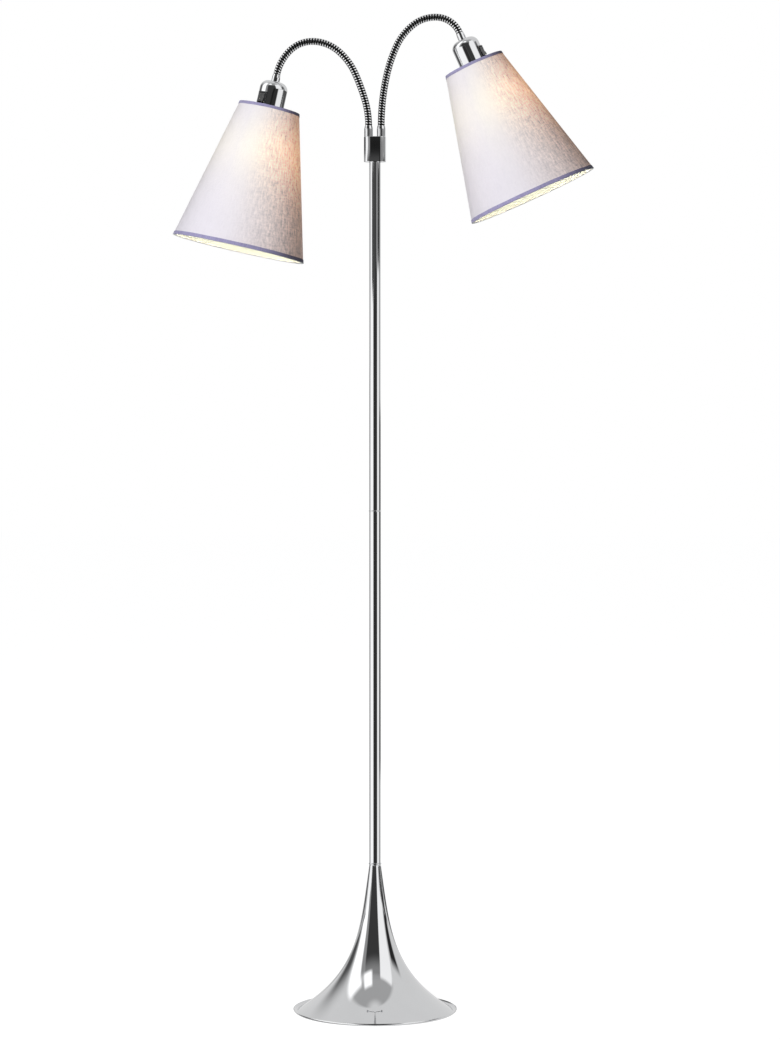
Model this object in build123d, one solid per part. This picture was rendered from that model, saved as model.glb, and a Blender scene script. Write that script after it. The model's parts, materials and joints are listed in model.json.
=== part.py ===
from build123d import *
import math
import os

# Floor lamp: a trumpet base, a two-piece pole and an oval collar that carries two gooseneck arms,
# each with a lampholder, a rocker switch, a bulb and a conical fabric shade.
# Frame: millimetres, origin on the floor on the pole's axis, +Z up, +X towards the right-hand arm,
# -Y towards the front. At rest both arms lie in the plane Y = 0.

# ---------------------------------------------------------------- driving dimensions: stand
base_height = 222.0             # floor to the top of the trumpet
base_neck_radius = 8.6          # trumpet's outer radius at its top
base_cone = 30.9                # part of the rim's radius that grows evenly down the trumpet
base_flare = 79.4               # part that grows as a power of the depth, mostly near the rim
base_flare_power = 4.12
profile_bunching = 1.3          # above 1, the outline's points lie closer together near the rim
base_wall = 1.5
rim_lip_width = 6.0             # turned-up lip outside the flare's end
rim_lip_height = 2.8
rim_lip_lean = 22.0             # degrees from upright, at the lip's top
rim_edge = 0.7                  # width and height of the slanting edge on the lip
rim_under_drop = 0.5            # lip's middle below the trumpet's end, underneath
pad_thickness = 1.4
pad_inset = 4.0                 # from the flare's end to the pad's edge
weight_height = 26.0
weight_gap = 1.0                # between the weight's edge and the shell
ring_height = 2.0               # bright ring on top of the trumpet
ring_overhang = 1.0             # how far the ring stands out from the pole
ring_chamfer = 0.5

pole_diameter = 17.2
pole_wall = 1.5
lower_pole_length = 529.5
upper_pole_length = 521.0       # up to the collar's underside
seam_ring_height = 1.5
seam_ring_overhang = 0.7
seam_ring_chamfer = 0.4
coupler_length = 60.0
coupler_wall = 1.8
plug_length = 24.0

rod_diameter = 10.0
rod_bore = 6.6
rod_into_plug = 16.0
rod_below_nut = 2.0
rod_hole_clearance = 0.2
nut_height = 6.0
nut_flats = 17.0
washer_thickness = 2.0
washer_diameter = 30.0
nut_pocket_diameter = 34.0      # room for washer and nut in the underside of the weight
nut_pocket_depth = 14.0

gland_diameter = 9.0
gland_bore = 6.0
gland_height = 8.0              # centre over the floor
gland_stands_out = 1.2          # in front of the shell, square to it
gland_depth = 3.5               # behind the shell's outer face
gland_lowest = 0.2              # grommet's lowest point over the floor

# ---------------------------------------------------------------- driving dimensions: collar, arms
collar_width = 33.0
collar_depth = 20.0
collar_height = 38.0
collar_edge = 0.8               # rounding of the collar's edges
collar_on_pole = 14.0           # length of pole inside the collar
chamber_height = 12.0           # wiring chamber above the pole
chamber_depth = 9.0
collar_screw_diameter = 4.0
collar_screw_height = 7.0       # over the collar's underside
collar_screw_proud = 0.5
collar_screw_key = 2.0
arm_spacing = 18.8              # between the two arms' axes

ferrule_diameter = 13.0
ferrule_tip_diameter = 11.6
ferrule_height = 16.0
ferrule_taper = 4.0             # height of the tapered tip
ferrule_spigot_diameter = 9.0
ferrule_spigot_length = 11.0

neck_diameter = 10.8            # over the ribs
rib_depth = 0.65
rib_count = 14                  # ribs on each link
neck_bore = 4.6
link_length = 40.5              # along the curve, from one pivot to the next
left_bends = (16.7, 7.5, 24.1, 37.6, 48.1, 33.4)     # degrees turned by each link, at rest
right_bends = (6.6, 7.0, 11.0, 26.6, 43.7, 60.8)
ball_diameter = 9.2             # ball on the end of each link
ball_clearance = 0.25           # between a ball and the cup over it
cup_rim = 1.0                   # from a pivot to the rim of the cup over the ball
link_gap = 1.7                  # from the end of one link's ribs to the pivot above it
swivel_diameter = 7.4           # spigot of the first link in the ferrule
swivel_length = 9.0
swivel_clearance = 0.05
swivel_end_gap = 0.3            # under the first link's ribs and below its spigot

sleeve_diameter = 12.4
sleeve_tip_diameter = 11.4
sleeve_length = 12.0
sleeve_spigot_diameter = 9.6
sleeve_spigot_length = 9.0

# ---------------------------------------------------------------- driving dimensions: lampholder
cup_diameter = 42.0
cup_wall = 1.0
cup_shoulder = 9.0              # radius of the rounded shoulder
cup_length = 42.0
cup_nut_height = 4.0
cup_nut_flats = 14.0
insert_into_cup = 3.2
insert_length = 27.0
insert_floor = 3.0
contact_diameter = 9.0
contact_height = 2.4
bulb_cap_clearance = 0.2

switch_width = 15.0
switch_height = 19.0
switch_from_top = 19.3          # from the top of the cup to the switch's upper edge
switch_depth = 9.5
switch_wall = 1.5
switch_floor = 2.0
switch_stands_out = 0.8         # bezel in front of the cup, at its middle
switch_hole_clearance = 0.1
rocker_side_clearance = 0.3
rocker_end_clearance = 0.8
rocker_pivot_depth = 3.6        # pivot behind the bezel's face
rocker_back = 2.0               # rocker's depth behind its pivot
rocker_proud = 1.6              # rocker's two ends in front of the bezel
rocker_dip = 0.9                # depth of the valley between the two crests
rocker_pin_diameter = 2.0
rocker_pin_length = 0.9         # into each side wall
rocker_pin_clearance = 0.05
rocker_pin_end_clearance = 0.1
rocker_crest = 0.55             # crests' distance from the middle, as a share of half the length
rocker_end_slope = 0.9          # the same for the start of the rounded-off ends
rocker_swing = 8.0              # degrees each way from the middle
left_switch_azimuth = -40.0     # degrees round the lampholder from the front, towards +X
right_switch_azimuth = 62.0

# ---------------------------------------------------------------- driving dimensions: shade, bulb
shade_top_diameter = 91.0
shade_bottom_diameter = 199.0
shade_height = 215.0
shade_wall = 0.8
shade_over_cup = 2.0            # the shade's top plane stands this far above the cup's lower edge
binding_width = 5.0
binding_thickness = 0.5
seat_clearance = 0.05           # between pieces that lie on each other
top_wire_diameter = 3.0
top_wire_drop = 2.2             # wire's centre below the shade's top edge, along the slope
bottom_wire_diameter = 2.4
hub_thickness = 2.0
hub_width = 5.0
spoke_count = 3
spoke_diameter = 2.4
spoke_root = 0.8                # spoke's end inside the hub's edge
first_spoke_azimuth = 90.0      # degrees from the lampholder's X axis, towards the back
shade_nut_height = 5.0
shade_nut_width = 4.0

bulb_cap_diameter = 26.4
bulb_cap_length = 24.0
bulb_cap_wall = 0.7
bulb_foot_diameter = 10.0
bulb_foot_height = 6.0          # insulator between the foot contact and the cap's thread
bulb_diameter = 60.0
bulb_length = 105.0             # from the foot contact to the crown
bulb_glass_wall = 1.0
glass_into_cap = 5.0

# ---------------------------------------------------------------- values worked out from these
pole_radius = pole_diameter / 2
pole_bore = pole_diameter - 2 * pole_wall
pole_start = base_height + ring_height
seam_height = pole_start + lower_pole_length
upper_pole_start = seam_height + seam_ring_height
collar_start = upper_pole_start + upper_pole_length
collar_top = collar_start + collar_height
neck_start = collar_top + ferrule_height
neck_radius = neck_diameter / 2
groove_radius = neck_radius - rib_depth
holder_start = sleeve_length                    # heights here run along the lampholder from its pivot
holder_end = holder_start + cup_length
shade_start = holder_end - shade_over_cup
insert_diameter = cup_diameter - 2 * cup_wall - 2 * seat_clearance
insert_start = holder_end - insert_into_cup
bulb_foot = insert_start + insert_floor + contact_height
hub_start = holder_end + seat_clearance
shade_nut_start = hub_start + hub_thickness + seat_clearance
inset_rounds = 12               # rounds of correction that settle a point on an inset outline


# ---------------------------------------------------------------- helpers
def turned(outline):
    """A solid of revolution about Z from a closed outline of (radius, height) points."""
    return revolve(make_face(Polyline(*[(r, 0, z) for r, z in outline], close=True)), axis=Axis.Z)


def rod(diameter, start, length):
    """A cylinder about Z that starts at a height."""
    return Pos(0, 0, start) * Cylinder(diameter / 2, length, align=(Align.CENTER, Align.CENTER, Align.MIN))


def tube(outer, inner, start, length):
    return rod(outer, start, length) - rod(inner, start - 1, length + 2)


def hexagon(flats, start, height):
    return Pos(0, 0, start) * extrude(RegularPolygon(flats / 2, 6, major_radius=False), height)


def wire_ring(radius, height, diameter):
    return Pos(0, 0, height) * Torus(radius, diameter / 2)


# ---------------------------------------------------------------- base
def flare_radius(height):
    """Outer radius of the trumpet at a height."""
    depth = 1 - height / base_height
    return base_neck_radius + base_cone * depth + base_flare * depth ** base_flare_power


def flare_slope(height):
    """How fast the radius grows as the height falls."""
    depth = 1 - height / base_height
    steepening = base_flare * base_flare_power * depth ** (base_flare_power - 1)
    return (base_cone + steepening) / base_height


def inset_radius(height, inset):
    """Radius at a height on a surface that lies inside the trumpet's by an inset square to it."""
    above = height
    for _ in range(inset_rounds):
        slope = flare_slope(above)
        above = height + inset * slope / math.hypot(1, slope)
    return flare_radius(above) - inset / math.hypot(1, flare_slope(above))


def trumpet_line(start, end, inset, stations=8):
    """The trumpet's outline between two heights, with its points closer together near the rim."""
    steps = [(i / (stations - 1)) ** profile_bunching for i in range(stations)]
    heights = [start + (end - start) * step for step in steps]
    return Spline(*[(inset_radius(z, inset), 0, z) for z in heights])


def trumpet_solid(start, end, inset):
    """A solid body under the trumpet's surface, or under one inset from it."""
    outer = trumpet_line(start, end, inset)
    closing = Polyline(outer @ 1, (0, 0, end), (0, 0, start), outer @ 0)
    return revolve(make_face(outer + closing), axis=Axis.Z)


def gland_hole(diameter):
    """A horizontal cylinder through the back of the trumpet, near the floor."""
    reach = flare_radius(0) + rim_lip_width
    return Pos(0, 0, gland_height) * Rot(-90, 0, 0) * rod(diameter, 0, reach)


def felt_pad():
    return rod(2 * (flare_radius(pad_thickness) - pad_inset), 0, pad_thickness)


def base_weight():
    """Cast disc with a pocket for the nut below and a channel for the cord to the back."""
    edge = base_wall + weight_gap
    weight = trumpet_solid(pad_thickness + seat_clearance, pad_thickness + weight_height, edge)
    weight -= rod(rod_diameter + 2 * rod_hole_clearance, 0, base_height)
    weight -= rod(nut_pocket_diameter, 0, pad_thickness + nut_pocket_depth)
    channel_top = gland_height + gland_diameter / 2
    channel = Box(gland_diameter, 2 * base_height, channel_top,
                  align=(Align.CENTER, Align.MIN, Align.MIN))
    return weight - channel


def base_shell():
    """Spun trumpet whose rim turns up in a narrow lip."""
    start = pad_thickness
    end_radius = flare_radius(start)
    outer = trumpet_line(start, base_height, 0)
    inner = trumpet_line(start + base_wall / 2, base_height - base_wall, base_wall)
    lip_top = (end_radius + rim_lip_width, 0, start + rim_lip_height)
    lip_under = (lip_top[0] + rim_edge, 0, lip_top[2] - rim_edge)
    foot = (end_radius - base_wall, 0, start - base_wall / 2)
    foot_outside = (end_radius + rim_lip_width / 2, 0, start - rim_under_drop)
    lean = math.radians(rim_lip_lean)
    lip = Spline(lip_top, outer @ 0, tangents=[(-math.sin(lean), 0, -math.cos(lean)), outer % 0])
    tip = Line(lip_top, lip_under)
    under = ThreePointArc(lip_under, foot_outside, foot)
    hole_radius = rod_diameter / 2 + rod_hole_clearance
    neck = Polyline(outer @ 1, (hole_radius, 0, base_height), (hole_radius, 0, base_height - base_wall),
                    inner @ 1)
    profile = make_face(Curve() + [outer, lip, tip, under, Line(foot, inner @ 0), inner, neck])
    return revolve(profile, axis=Axis.Z) - gland_hole(gland_diameter + 2 * seat_clearance)


def cable_gland():
    """Grommet in the back of the shell, cut along the shell's own curve inside and out."""
    grommet = gland_hole(gland_diameter) - gland_hole(gland_bore)
    top = gland_height + gland_diameter
    grommet &= trumpet_solid(gland_lowest, top, -gland_stands_out)
    return grommet - trumpet_solid(0, top + 1, gland_depth)


def tie_rod():
    washer_top = pad_thickness + nut_pocket_depth
    start = washer_top - washer_thickness - nut_height - rod_below_nut
    return tube(rod_diameter, rod_bore, start, pole_start + rod_into_plug - start)


def tie_washer():
    top = pad_thickness + nut_pocket_depth - seat_clearance
    hole = rod_diameter + 2 * rod_hole_clearance
    return tube(washer_diameter, hole, top - washer_thickness, washer_thickness)


def tie_nut():
    start = pad_thickness + nut_pocket_depth - washer_thickness - nut_height - 2 * seat_clearance
    return hexagon(nut_flats, start, nut_height) - rod(rod_diameter + 2 * seat_clearance, 0, base_height)


# ---------------------------------------------------------------- pole
def base_ring():
    outer = pole_diameter + 2 * ring_overhang
    ring = rod(outer, base_height, ring_height)
    ring = chamfer(ring.edges().filter_by(GeomType.CIRCLE), ring_chamfer)
    return ring - rod(rod_diameter + 2 * rod_hole_clearance, 0, pole_start + 1)


def pole_plug():
    thread = rod_diameter + 2 * seat_clearance
    return tube(pole_bore - 2 * seat_clearance, thread, pole_start, plug_length)


def lower_pole():
    return tube(pole_diameter, pole_bore, pole_start, lower_pole_length)


def pole_coupler():
    outer = pole_bore - 2 * seat_clearance
    middle = seam_height + seam_ring_height / 2
    return tube(outer, outer - 2 * coupler_wall, middle - coupler_length / 2, coupler_length)


def joint_ring():
    outer = pole_diameter + 2 * seam_ring_overhang
    ring = rod(outer, seam_height, seam_ring_height)
    ring = chamfer(ring.edges().filter_by(GeomType.CIRCLE), seam_ring_chamfer)
    return ring - rod(pole_bore, seam_height - 1, seam_ring_height + 2)


def upper_pole():
    return tube(pole_diameter, pole_bore, upper_pole_start, upper_pole_length + collar_on_pole)


def arm_collar():
    """Oval block: the pole enters below, a chamber for the wires, two bores for the ferrules above."""
    body = Pos(0, 0, collar_start) * extrude(SlotOverall(collar_width, collar_depth), collar_height)
    rims = body.edges().group_by(Axis.Z)
    body = fillet(rims[0] + rims[-1], collar_edge)
    chamber_start = collar_start + collar_on_pole + seat_clearance
    chamber = extrude(SlotOverall(arm_spacing + chamber_depth, chamber_depth), chamber_height)
    body -= Pos(0, 0, chamber_start) * chamber
    body -= rod(pole_diameter + 2 * seat_clearance, collar_start - 1, chamber_start - collar_start + 1)
    for side in (-1, 1):
        bore = rod(ferrule_spigot_diameter + 2 * seat_clearance, chamber_start, collar_height)
        body -= Pos(side * arm_spacing / 2, 0, 0) * bore
    return body - collar_screw_shape(collar_screw_diameter + 2 * seat_clearance, 0, collar_depth)


def collar_screw_shape(diameter, start, length):
    """A cylinder along +Y at the grub screw's place, starting off the pole's surface."""
    place = Pos(0, pole_radius + start, collar_start + collar_screw_height) * Rot(-90, 0, 0)
    return place * rod(diameter, 0, length)


def collar_screw():
    end = collar_depth / 2 - pole_radius + collar_screw_proud
    length = end - seat_clearance
    screw = collar_screw_shape(collar_screw_diameter, seat_clearance, length)
    key = Pos(0, pole_radius + end, collar_start + collar_screw_height) * Rot(90, 0, 0)
    return screw - key * extrude(RegularPolygon(collar_screw_key / 2, 6, major_radius=False), length / 2)


# ---------------------------------------------------------------- goosenecks
def station(pivot, angle, bend, side, along):
    """Point and angle at a distance along a link's arc. Angles are from +Z, towards the arm's side."""
    turn = bend * along / link_length
    radius = link_length / bend
    x = pivot[0] + side * radius * (math.cos(angle) - math.cos(angle + turn))
    z = pivot[2] + radius * (math.sin(angle + turn) - math.sin(angle))
    return (x, 0, z), angle + turn


def crossing(point, angle, side):
    """The plane square to the neck at a point, with its X axis always along +Y."""
    return Plane(origin=point, x_dir=(0, 1, 0), z_dir=(side * math.sin(angle), 0, math.cos(angle)))


def neck_pivots(side, bends):
    """(point, angle, bend) at the lower end of each link, then at the lampholder's pivot."""
    point, angle = (side * arm_spacing / 2, 0, neck_start), 0.0
    pivots = []
    for bend in bends:
        turn = math.radians(bend)
        pivots.append((point, angle, turn))
        point, angle = station(point, angle, turn, side, link_length)
    pivots.append((point, angle, 0.0))
    return pivots


def neck_link(pivot, side, start, has_cup):
    """A curved ribbed link with a ball at its far end, and a cup over the ball before it."""
    point, angle, bend = pivot
    end = link_length - link_gap
    half_pitch = (end - start) / (2 * rib_count - 1)
    rings = []
    for i in range(2 * rib_count):
        here, turned_angle = station(point, angle, bend, side, start + i * half_pitch)
        radius = groove_radius if i % 2 else neck_radius
        rings.append(Wire.make_circle(radius, crossing(here, turned_angle, side)))
    link = Part() + Solid.make_loft(rings, ruled=True)
    root = crossing(point, angle, side)
    ball_point, ball_angle = station(point, angle, bend, side, link_length)
    tip = crossing(ball_point, ball_angle, side)
    link += tip * Sphere(ball_diameter / 2)
    if has_cup:
        link -= root * Sphere(ball_diameter / 2 + ball_clearance)
    else:
        spigot_length = swivel_length - swivel_end_gap
        link += root * rod(swivel_diameter, -spigot_length, spigot_length + start + rib_depth)
    curve_radius = link_length / bend
    centre = (point[0] + side * curve_radius * math.cos(angle), 0,
              point[2] - curve_radius * math.sin(angle))
    bend_axis = Axis(centre, (0, side, 0))
    link -= revolve(root * Circle(neck_bore / 2), axis=bend_axis, revolution_arc=math.degrees(bend))
    link -= tip * rod(neck_bore, 0, ball_diameter)
    return link - root * rod(neck_bore, -2 * swivel_length, 2 * swivel_length)


def ferrule(side):
    body = rod(ferrule_diameter, collar_top, ferrule_height - ferrule_taper)
    taper_start = neck_start - ferrule_taper
    body += turned([(0, taper_start), (ferrule_diameter / 2, taper_start),
                    (ferrule_tip_diameter / 2, neck_start), (0, neck_start)])
    body += rod(ferrule_spigot_diameter, collar_top - ferrule_spigot_length, ferrule_spigot_length)
    socket = rod(swivel_diameter + 2 * swivel_clearance, neck_start - swivel_length, swivel_length)
    body -= socket + rod(neck_bore, collar_start, neck_start - collar_start)
    return Pos(side * arm_spacing / 2, 0, 0) * body


# ---------------------------------------------------------------- lampholder, about its own axis
def neck_sleeve():
    """Plain sleeve with a cup for the neck's last ball and a spigot into the lampholder."""
    body = turned([(0, cup_rim), (sleeve_tip_diameter / 2, cup_rim),
                   (sleeve_diameter / 2, sleeve_length / 2), (sleeve_diameter / 2, sleeve_length),
                   (0, sleeve_length)])
    body += rod(sleeve_spigot_diameter, sleeve_length, sleeve_spigot_length)
    body -= Sphere(ball_diameter / 2 + ball_clearance)
    return body - rod(neck_bore, 0, sleeve_length + sleeve_spigot_length + 1)


def switch_place(azimuth):
    """Turns what is built facing -Y to a direction round the lampholder."""
    return Rot(0, 0, -azimuth)


def switch_block(width, height, depth, face):
    """A block behind the switch's face, which lies at a distance in front of the axis."""
    middle = holder_start + switch_from_top + switch_height / 2
    return Pos(0, -face, middle) * Box(width, depth, height, align=(Align.CENTER, Align.MIN, Align.CENTER))


switch_face = cup_diameter / 2 + switch_stands_out
switch_middle = holder_start + switch_from_top + switch_height / 2
rocker_pivot_radius = switch_face - rocker_pivot_depth


def holder_cup(azimuth):
    radius, top = cup_diameter / 2, holder_start
    inner = radius - cup_wall
    hole = sleeve_spigot_diameter / 2 + seat_clearance
    turn = math.sqrt(0.5)
    middle_out = radius - cup_shoulder * (1 - turn)
    inner_shoulder = cup_shoulder - cup_wall
    middle_in = inner - inner_shoulder * (1 - turn)
    rise = cup_shoulder * (1 - turn)
    rise_in = cup_wall + inner_shoulder * (1 - turn)
    outline = Curve() + [
        Line((hole, 0, top), (radius - cup_shoulder, 0, top)),
        ThreePointArc((radius - cup_shoulder, 0, top), (middle_out, 0, top + rise),
                      (radius, 0, top + cup_shoulder)),
        Polyline((radius, 0, top + cup_shoulder), (radius, 0, holder_end), (inner, 0, holder_end),
                 (inner, 0, top + cup_shoulder)),
        ThreePointArc((inner, 0, top + cup_shoulder), (middle_in, 0, top + rise_in),
                      (radius - cup_shoulder, 0, top + cup_wall)),
        Polyline((radius - cup_shoulder, 0, top + cup_wall), (hole, 0, top + cup_wall), (hole, 0, top)),
    ]
    cup = revolve(make_face(outline), axis=Axis.Z)
    grow = 2 * switch_hole_clearance
    return cup - switch_place(azimuth) * switch_block(switch_width + grow, switch_height + grow,
                                                      switch_depth, switch_face)


def cup_nut():
    start = holder_start + cup_wall + seat_clearance
    return hexagon(cup_nut_flats, start, cup_nut_height) - rod(
        sleeve_spigot_diameter + 2 * seat_clearance, 0, holder_end)


def switch_body(azimuth):
    """Case with an open front; the rocker's pins turn in its side walls."""
    case = switch_block(switch_width, switch_height, switch_depth, switch_face)
    case = fillet(case.edges().filter_by(Axis.Y), switch_wall / 2)
    pocket_depth = switch_depth - switch_floor
    case -= switch_block(switch_width - 2 * switch_wall, switch_height - 2 * switch_wall,
                         pocket_depth, switch_face)
    hole_span = switch_width - 2 * switch_wall + 2 * (rocker_pin_length + rocker_pin_end_clearance)
    pin_hole = Rot(0, 90, 0) * Cylinder(rocker_pin_diameter / 2 + rocker_pin_clearance, hole_span)
    return switch_place(azimuth) * (case - Pos(0, -rocker_pivot_radius, switch_middle) * pin_hole)


def rocker(azimuth):
    """Rocker with a shallow valley between its ends, lying in its switched-on position."""
    half = switch_height / 2 - switch_wall - rocker_end_clearance
    width = switch_width - 2 * switch_wall - 2 * rocker_side_clearance
    front = rocker_pivot_depth + rocker_proud
    valley = front - rocker_dip
    crest, shoulder = half * rocker_crest, half * rocker_end_slope
    outline = Polyline((rocker_back, -half), (rocker_back, half), (-rocker_pivot_depth, half),
                       (-front, shoulder), (-front, crest), (-valley, 0), (-front, -crest),
                       (-front, -shoulder), (-rocker_pivot_depth, -half), close=True)
    side_face = Plane.YZ * make_face(outline)
    body = Pos(-width / 2, 0, 0) * extrude(side_face, width, dir=(1, 0, 0))
    pin_span = switch_width - 2 * switch_wall + 2 * rocker_pin_length
    body += Rot(0, 90, 0) * Cylinder(rocker_pin_diameter / 2, pin_span)
    place = Pos(0, -rocker_pivot_radius, switch_middle) * Rot(rocker_swing, 0, 0)
    return switch_place(azimuth) * place * body


def socket_insert():
    bore = bulb_cap_diameter + 2 * bulb_cap_clearance
    return rod(insert_diameter, insert_start, insert_length) - rod(
        bore, insert_start + insert_floor, insert_length)


def socket_contact():
    height = contact_height - 2 * seat_clearance
    return rod(contact_diameter, insert_start + insert_floor + seat_clearance, height)


# ---------------------------------------------------------------- shade
slope_angle = math.atan2((shade_bottom_diameter - shade_top_diameter) / 2, shade_height)
slant = shade_height / math.cos(slope_angle)


def on_shade(down, out):
    """(radius, height) of a point down the slope from the top edge, and out from the outer face."""
    radius = shade_top_diameter / 2 + down * math.sin(slope_angle) + out * math.cos(slope_angle)
    height = shade_start + down * math.cos(slope_angle) - out * math.sin(slope_angle)
    return radius, height


def shade():
    return turned([on_shade(0, 0), on_shade(slant, 0), on_shade(slant, -shade_wall),
                   on_shade(0, -shade_wall)])


def binding(edge, inwards):
    """Tape folded over an edge of the shade; inwards is +1 at the top edge and -1 at the bottom."""
    gap, tape = seat_clearance, binding_thickness
    leg = edge + inwards * binding_width
    outside, inside = gap, -shade_wall - gap
    turned_over, fold = edge - inwards * gap, edge - inwards * (gap + tape)
    return turned([on_shade(leg, outside), on_shade(leg, outside + tape), on_shade(fold, outside + tape),
                   on_shade(fold, inside - tape), on_shade(leg, inside - tape), on_shade(leg, inside),
                   on_shade(turned_over, inside), on_shade(turned_over, outside)])


def behind_tape(down, wire_diameter):
    """(radius, height) of a wire ring that lies on the tape inside the shade."""
    depth = shade_wall + 2 * seat_clearance + binding_thickness + wire_diameter / 2
    return on_shade(down, -depth)


def shade_spider():
    """Hub ring round the lampholder, spokes, and the wire ring in the shade's top edge."""
    bore = insert_diameter + 2 * seat_clearance
    hub = tube(bore + 2 * hub_width, bore, hub_start, hub_thickness)
    radius, height = behind_tape(top_wire_drop, top_wire_diameter)
    spider = hub + wire_ring(radius, height, top_wire_diameter)
    hub_edge = bore / 2 + hub_width - spoke_root
    hub_middle = hub_start + hub_thickness / 2
    for i in range(spoke_count):
        turn = Rot(0, 0, first_spoke_azimuth + i * 360 / spoke_count)
        spoke_line = Line((hub_edge, 0, hub_middle), (radius, 0, height))
        section = Plane(origin=spoke_line @ 0, z_dir=spoke_line % 0) * Circle(spoke_diameter / 2)
        spider += turn * extrude(section, spoke_line.length)
    return spider - rod(bore, 0, 2 * holder_end)


def bottom_wire():
    down = slant - bottom_wire_diameter / 2
    radius, height = behind_tape(down, bottom_wire_diameter)
    return wire_ring(radius, height, bottom_wire_diameter)


def shade_nut():
    bore = insert_diameter + 2 * seat_clearance
    return tube(bore + 2 * shade_nut_width, bore, shade_nut_start, shade_nut_height)


# ---------------------------------------------------------------- bulb
def bulb_cap():
    radius, wall = bulb_cap_diameter / 2, bulb_cap_wall
    foot, end = bulb_foot, bulb_foot + bulb_cap_length
    return turned([(0, foot), (bulb_foot_diameter / 2, foot), (radius, foot + bulb_foot_height),
                   (radius, end), (radius - wall, end), (radius - wall, foot + bulb_foot_height + wall),
                   (0, foot + bulb_foot_height + wall)])


def bulb_glass():
    """Pear-shaped bulb with an even wall: a straight neck, a hollow arc and a round crown."""
    neck = bulb_cap_diameter / 2 - bulb_cap_wall - seat_clearance
    start, mouth = bulb_foot + bulb_cap_length - glass_into_cap, bulb_foot + bulb_cap_length
    radius = bulb_diameter / 2
    centre = bulb_foot + bulb_length - radius
    rise = centre - mouth
    hollow_radius = (neck ** 2 + rise ** 2 - radius ** 2) / (2 * (radius - neck))
    hollow_centre = neck + hollow_radius
    lean = math.atan2(rise, hollow_centre)

    def skin(wall):
        hollow, crown = hollow_radius + wall, radius - wall
        join = (crown * math.cos(lean), 0, centre - crown * math.sin(lean))
        mid_hollow = (hollow_centre - hollow * math.cos(lean / 2), 0, mouth + hollow * math.sin(lean / 2))
        mid_turn = (math.pi / 2 - lean) / 2
        mid_crown = (crown * math.cos(mid_turn), 0, centre + crown * math.sin(mid_turn))
        low, top = (neck - wall, 0, mouth), (0, 0, centre + crown)
        outline = Curve() + [
            ThreePointArc(low, mid_hollow, join),
            ThreePointArc(join, mid_crown, top),
            Polyline(top, (0, 0, start), (neck - wall, 0, start), low),
        ]
        return revolve(make_face(outline), axis=Axis.Z)

    return skin(0) - skin(bulb_glass_wall)


# ---------------------------------------------------------------- assembly
def stand_pieces():
    return {
        "felt_pad": felt_pad(),
        "base_weight": base_weight(),
        "base_shell": base_shell(),
        "cable_gland": cable_gland(),
        "tie_rod": tie_rod(),
        "tie_washer": tie_washer(),
        "tie_nut": tie_nut(),
        "base_ring": base_ring(),
        "pole_plug": pole_plug(),
        "lower_pole": lower_pole(),
        "pole_coupler": pole_coupler(),
        "joint_ring": joint_ring(),
        "upper_pole": upper_pole(),
        "arm_collar": arm_collar(),
        "collar_screw": collar_screw(),
    }


def arm_pieces(name, side, bends, switch_azimuth):
    pieces = {f"{name}_ferrule": ferrule(side)}
    pivots = neck_pivots(side, bends)
    for number, pivot in enumerate(pivots[:-1], start=1):
        start = swivel_end_gap if number == 1 else cup_rim
        pieces[f"{name}_neck_link_{number}"] = neck_link(pivot, side, start, number > 1)
    point, angle, _ = pivots[-1]
    head = {
        "neck_sleeve": neck_sleeve(),
        "holder_cup": holder_cup(switch_azimuth),
        "cup_nut": cup_nut(),
        "switch_body": switch_body(switch_azimuth),
        "rocker": rocker(switch_azimuth),
        "socket_insert": socket_insert(),
        "socket_contact": socket_contact(),
        "shade_nut": shade_nut(),
        "shade_spider": shade_spider(),
        "shade": shade(),
        "shade_bottom_wire": bottom_wire(),
        "shade_top_binding": binding(0, 1),
        "shade_bottom_binding": binding(slant, -1),
        "bulb_cap": bulb_cap(),
        "bulb_glass": bulb_glass(),
    }
    down = (side * math.sin(angle), 0, math.cos(angle))
    sideways = (math.cos(angle), 0, -side * math.sin(angle))
    place = Plane(origin=point, x_dir=sideways, z_dir=down)
    pieces.update({f"{name}_{key}": place * solid for key, solid in head.items()})
    return pieces


def all_pieces():
    pieces = stand_pieces()
    pieces.update(arm_pieces("left", -1, left_bends, left_switch_azimuth))
    pieces.update(arm_pieces("right", 1, right_bends, right_switch_azimuth))
    return pieces


os.makedirs("parts", exist_ok=True)
for node, solid in all_pieces().items():
    export_step(solid, f"parts/{node}.step")
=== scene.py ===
import json
import math

import bmesh
import bpy
from mathutils import Matrix, Vector


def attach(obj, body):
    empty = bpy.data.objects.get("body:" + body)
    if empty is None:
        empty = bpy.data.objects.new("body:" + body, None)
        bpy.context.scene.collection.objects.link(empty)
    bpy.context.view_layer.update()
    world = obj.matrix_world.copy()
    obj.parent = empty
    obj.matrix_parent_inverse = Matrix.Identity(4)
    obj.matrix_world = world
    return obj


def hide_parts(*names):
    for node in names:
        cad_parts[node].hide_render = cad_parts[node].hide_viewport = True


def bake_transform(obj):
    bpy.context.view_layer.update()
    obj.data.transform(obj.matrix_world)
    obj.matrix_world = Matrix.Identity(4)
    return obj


# A floor lamp: chromed trumpet base and pole, two ribbed goosenecks, two lampholders and two conical
# linen shades with a warm bulb inside each. Metres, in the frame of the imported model.
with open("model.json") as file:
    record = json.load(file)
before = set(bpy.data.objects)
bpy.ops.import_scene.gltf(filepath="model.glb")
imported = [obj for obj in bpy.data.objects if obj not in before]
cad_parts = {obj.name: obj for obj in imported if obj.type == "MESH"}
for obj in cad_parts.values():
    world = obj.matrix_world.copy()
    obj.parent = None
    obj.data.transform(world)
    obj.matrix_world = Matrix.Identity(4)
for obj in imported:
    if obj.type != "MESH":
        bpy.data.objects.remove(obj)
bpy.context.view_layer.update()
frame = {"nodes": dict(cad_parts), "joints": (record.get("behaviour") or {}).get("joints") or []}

MM = 0.001
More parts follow.
